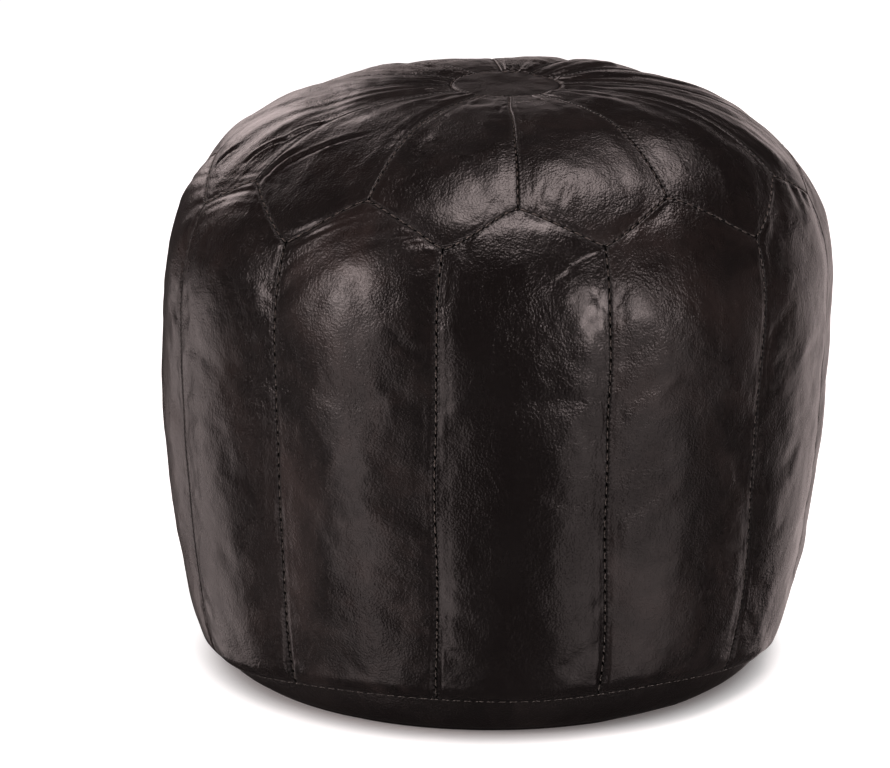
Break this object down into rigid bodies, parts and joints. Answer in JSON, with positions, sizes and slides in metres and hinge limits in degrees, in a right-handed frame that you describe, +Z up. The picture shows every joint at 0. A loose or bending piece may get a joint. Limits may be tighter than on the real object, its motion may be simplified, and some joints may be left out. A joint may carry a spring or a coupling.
{
  "type": "round leather pouf",
  "caption": "Round stuffed pouf in dark goat leather, with panelled sides, a petal top sewn round a small disc, and a zip under the base.",
  "frame": {"origin": "middle of the underside, on the floor the pouf stands on", "axes": "+Z up along the pouf's axis; -Y the front, where the middle of a side panel faces; +X the way the zip closes"},
  "size_m": [0.4, 0.4, 0.351],
  "materials": {
    "cover_leather": "very dark brown, glossy, fine grain, slightly mottled",
    "base_leather": "near black, dull",
    "sewing_thread": "waxed, dark brown",
    "lining_cotton": "plain unbleached weave",
    "stuffing_cotton": "loose cotton waste",
    "zip_tape": "black woven tape",
    "zip_teeth": "black nylon coil",
    "zip_metal": "dark nickel plate"
  },
  "bodies": {
    "cover": {"centre_disc": "cover_leather", "top_petal_01": "cover_leather", "top_petal_02": "cover_leather", "top_petal_03": "cover_leather", "top_petal_04": "cover_leather", "top_petal_05": "cover_leather", "top_petal_06": "cover_leather", "top_petal_07": "cover_leather", "top_petal_08": "cover_leather", "top_petal_09": "cover_leather", "top_petal_10": "cover_leather", "top_petal_11": "cover_leather", "top_petal_12": "cover_leather", "side_panel_01": "cover_leather", "side_panel_02": "cover_leather", "side_panel_03": "cover_leather", "side_panel_04": "cover_leather", "side_panel_05": "cover_leather", "side_panel_06": "cover_leather", "side_panel_07": "cover_leather", "side_panel_08": "cover_leather", "side_panel_09": "cover_leather", "side_panel_10": "cover_leather", "side_panel_11": "cover_leather", "side_panel_12": "cover_leather", "base_half_front": "base_leather", "base_half_back": "base_leather", "disc_seam_thread": "sewing_thread", "zigzag_seam_thread": "sewing_thread", "base_seam_thread": "sewing_thread", "side_seam_thread_01": "sewing_thread", "side_seam_thread_02": "sewing_thread", "side_seam_thread_03": "sewing_thread", "side_seam_thread_04": "sewing_thread", "side_seam_thread_05": "sewing_thread", "side_seam_thread_06": "sewing_thread", "side_seam_thread_07": "sewing_thread", "side_seam_thread_08": "sewing_thread", "side_seam_thread_09": "sewing_thread", "side_seam_thread_10": "sewing_thread", "side_seam_thread_11": "sewing_thread", "side_seam_thread_12": "sewing_thread", "lining_bag": "lining_cotton", "stuffing": "stuffing_cotton", "zip_tape_front": "zip_tape", "zip_tape_back": "zip_tape", "zip_teeth_front": "zip_teeth", "zip_teeth_back": "zip_teeth", "zip_top_stop_front": "zip_metal", "zip_top_stop_back": "zip_metal", "zip_bottom_stop": "zip_metal"},
    "slider": {"zip_slider": "zip_metal"},
    "pull": {"zip_pull": "zip_metal"}
  },
  "joints": [
    {"name": "zip_slide", "type": "slide", "parent": "cover", "child": "slider", "axis": [-1, 0, 0], "range_m": [0, 0.2294]},
    {"name": "pull_hinge", "type": "hinge", "parent": "slider", "child": "pull", "pos_m": [0.1147, 0, 0.00215], "axis": [0, -1, 0], "range_deg": [0, 165]}
  ]
}
